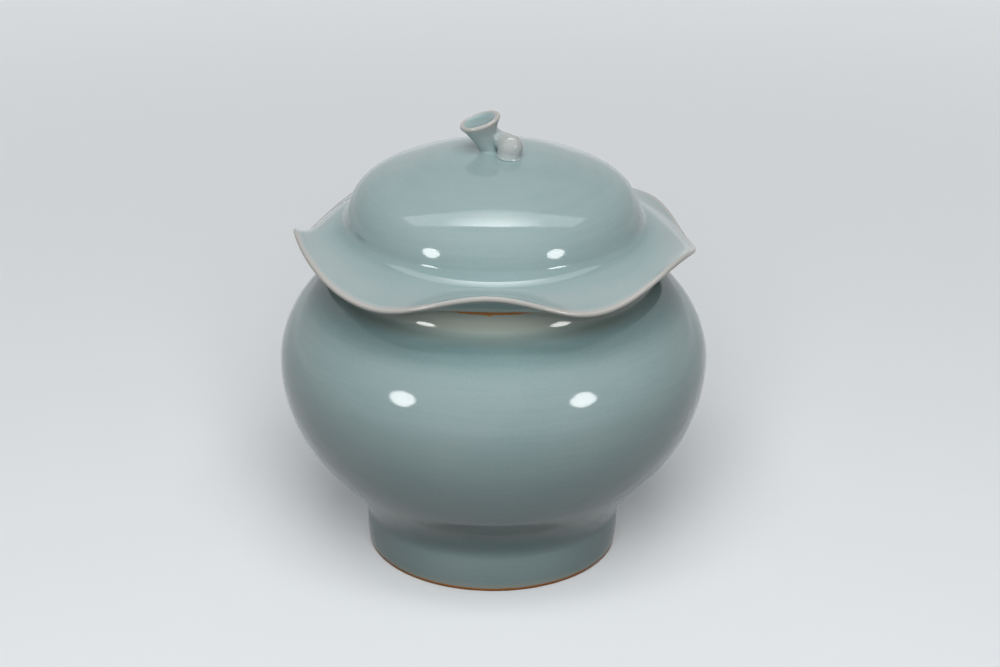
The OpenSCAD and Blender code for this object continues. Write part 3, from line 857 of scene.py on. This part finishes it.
def backdrop_world(settings):
    """A pale backdrop for the camera, for gloss and through glass, and a dimmer even light."""
    world = bpy.data.worlds.new("studio_backdrop")
    world.use_nodes = True
    tree = world.node_tree
    tree.nodes.clear()
    seen = add_node(tree, "ShaderNodeLightPath")
    pale = add_node(tree, "ShaderNodeBackground", {"Color": (*settings.pale, 1), "Strength": 1.0})
    even = add_node(tree, "ShaderNodeBackground", {"Color": (1, 1, 1, 1), "Strength": settings.ambient})
    mix = add_node(tree, "ShaderNodeMixShader", links={0: seen.outputs["Is Diffuse Ray"], 1: pale.outputs[0],
                                                       2: even.outputs[0]})
    add_node(tree, "ShaderNodeOutputWorld", links={"Surface": mix.outputs[0]})
    return world


def hang_lamp(name, shape, size, place, target, power):
    """An area lamp that looks from its place at a target; all in metres."""
    data = bpy.data.lights.new(name, "AREA")
    data.shape = shape
    data.size, data.size_y = size
    data.energy = power
    lamp = bpy.data.objects.new(name, data)
    lamp.location = place
    lamp.rotation_euler = (Vector(target) - Vector(place)).to_track_quat("-Z", "Y").to_euler()
    bpy.context.scene.collection.objects.link(lamp)
    return lamp


def floor_disc(radius, around=96, rings=40):
    """A flat disc of rings round a middle point, closed at the middle with triangles."""
    a = np.radians(np.arange(around) * 360 / around)[:, None]
    r = np.linspace(radius / rings, radius, rings)[None]
    points = np.stack([r * np.sin(a), -r * np.cos(a), FLOOR_Z + 0 * r * a], 2).reshape(-1, 3)
    points = np.concatenate([points, [[0, 0, FLOOR_Z]]])
    k, j = np.arange(around)[:, None], np.arange(rings - 1)[None]
    here, right = k * rings, (k + 1) % around * rings
    quads = np.stack(np.broadcast_arrays(here + j, here + j + 1, right + j + 1, right + j), 2).reshape(-1, 4)
    fan = np.stack([np.full(around, len(points) - 1), here[:, 0], right[:, 0]], 1)
    mesh = bpy.data.meshes.new("studio_floor")
    mesh.from_pydata(points.tolist(), [], quads.tolist() + fan.tolist())
    return mesh


FLOOR_Z = -0.0002     # a hair below the foot, so that the two don't flicker


class JAR_OT_stage(bpy.types.Operator):
    """Lay the pale floor, hang the lamps and set up the camera"""
    bl_idname = "jar.stage"
    bl_label = "Stage"

    def execute(self, context):
        scene = context.scene
        settings = scene.stage_settings
        mesh = floor_disc(6.0)
        mesh.materials.append(floor_material("studio_paper_matt", settings))
        floor = bpy.data.objects.new("studio_floor", mesh)
        scene.collection.objects.link(floor)
        scene.world = backdrop_world(settings)

        # Three soft lamps light the object and aren't mirrored in the glaze.
        for name, size, place, power in (("key_above_camera", (1.2, 1.0), (0, -1.58, 1.36), settings.key),
                                         ("key_high_in_front", (1.0, 0.5), (0, -0.6, 1.55), settings.high_key),
                                         ("fill_behind", (1.2, 0.8), (0, 1.5, 1.1), settings.back)):
            hang_lamp(name, "RECTANGLE", size, place, (0, 0, 0.13), power).visible_glossy = False
        # The softbox and the two round lamps are there for the glaze to mirror. The beam of the
        # softbox's middle is narrow, so it fades towards both ends.
        softbox = hang_lamp("softbox_overhead", "RECTANGLE", (2.2, 0.48), (0, 0.22, 1.45), (0, 0.22, 0),
                            settings.softbox)
        middle = hang_lamp("softbox_middle", "RECTANGLE", (1.3, 0.48), (0, 0.22, 1.449), (0, 0.22, 0),
                           settings.softbox_middle)
        middle.data.spread = math.radians(45)
        left = hang_lamp("lamp_left", "DISK", (0.34, 0.34), (-1.03, -0.94, 0.53), (0, 0, 0.15), settings.lamp)
        right = hang_lamp("lamp_right", "DISK", (0.34, 0.34), (1.01, -0.94, 0.53), (0, 0, 0.15), settings.lamp)
        for lamp in (softbox, middle, left, right):
            lamp.visible_diffuse = False

        data = bpy.data.cameras.new("camera")
        data.lens, data.sensor_width = 100.0, 36.0
        camera = bpy.data.objects.new("camera", data)
        camera.location = (0.003908, -1.493788, 0.786388)
        pitch, roll = math.pi / 2 - 0.412913, 0.0072052
        camera.rotation_euler = (Matrix.Rotation(pitch, 3, "X") @ Matrix.Rotation(roll, 3, "Z")).to_euler()
        scene.collection.objects.link(camera)
        scene.camera = camera
        scene.view_settings.view_transform = "Standard"
        return {"FINISHED"}


# ---- Panel and start ----

OPERATORS = (JAR_OT_lower_bowl, JAR_OT_upper_bowl, JAR_OT_base, JAR_OT_leaf, JAR_OT_ring, JAR_OT_stalk,
             JAR_OT_curl, JAR_OT_stage)
GROUPS = {"jar_sizes": JarSizes, "lid_sizes": LidSizes, "knob_sizes": KnobSizes,
          "glaze_colours": GlazeColours, "stage_settings": StageSettings}


class JAR_PT_panel(bpy.types.Panel):
    """Lists the jar's sizes, colours and pieces"""
    bl_idname = "JAR_PT_panel"
    bl_label = "Celadon jar"
    bl_space_type = "VIEW_3D"
    bl_region_type = "UI"
    bl_category = "Jar"

    def draw(self, context):
        for name, group in GROUPS.items():
            box = self.layout.box()
            for key in group.__annotations__:
                box.prop(getattr(context.scene, name), key)
        for operator in OPERATORS:
            self.layout.operator(operator.bl_idname)


def register():
    for item in (*GROUPS.values(), *OPERATORS, JAR_PT_panel):
        bpy.utils.register_class(item)
    for name, group in GROUPS.items():
        setattr(bpy.types.Scene, name, PointerProperty(type=group))


def unregister():
    for name in GROUPS:
        delattr(bpy.types.Scene, name)
    for item in reversed((*GROUPS.values(), *OPERATORS, JAR_PT_panel)):
        bpy.utils.unregister_class(item)


def main():
    register()
    for operator in OPERATORS:
        group, name = operator.bl_idname.split(".")
        getattr(getattr(bpy.ops, group), name)()


if __name__ == "__main__":
    main()
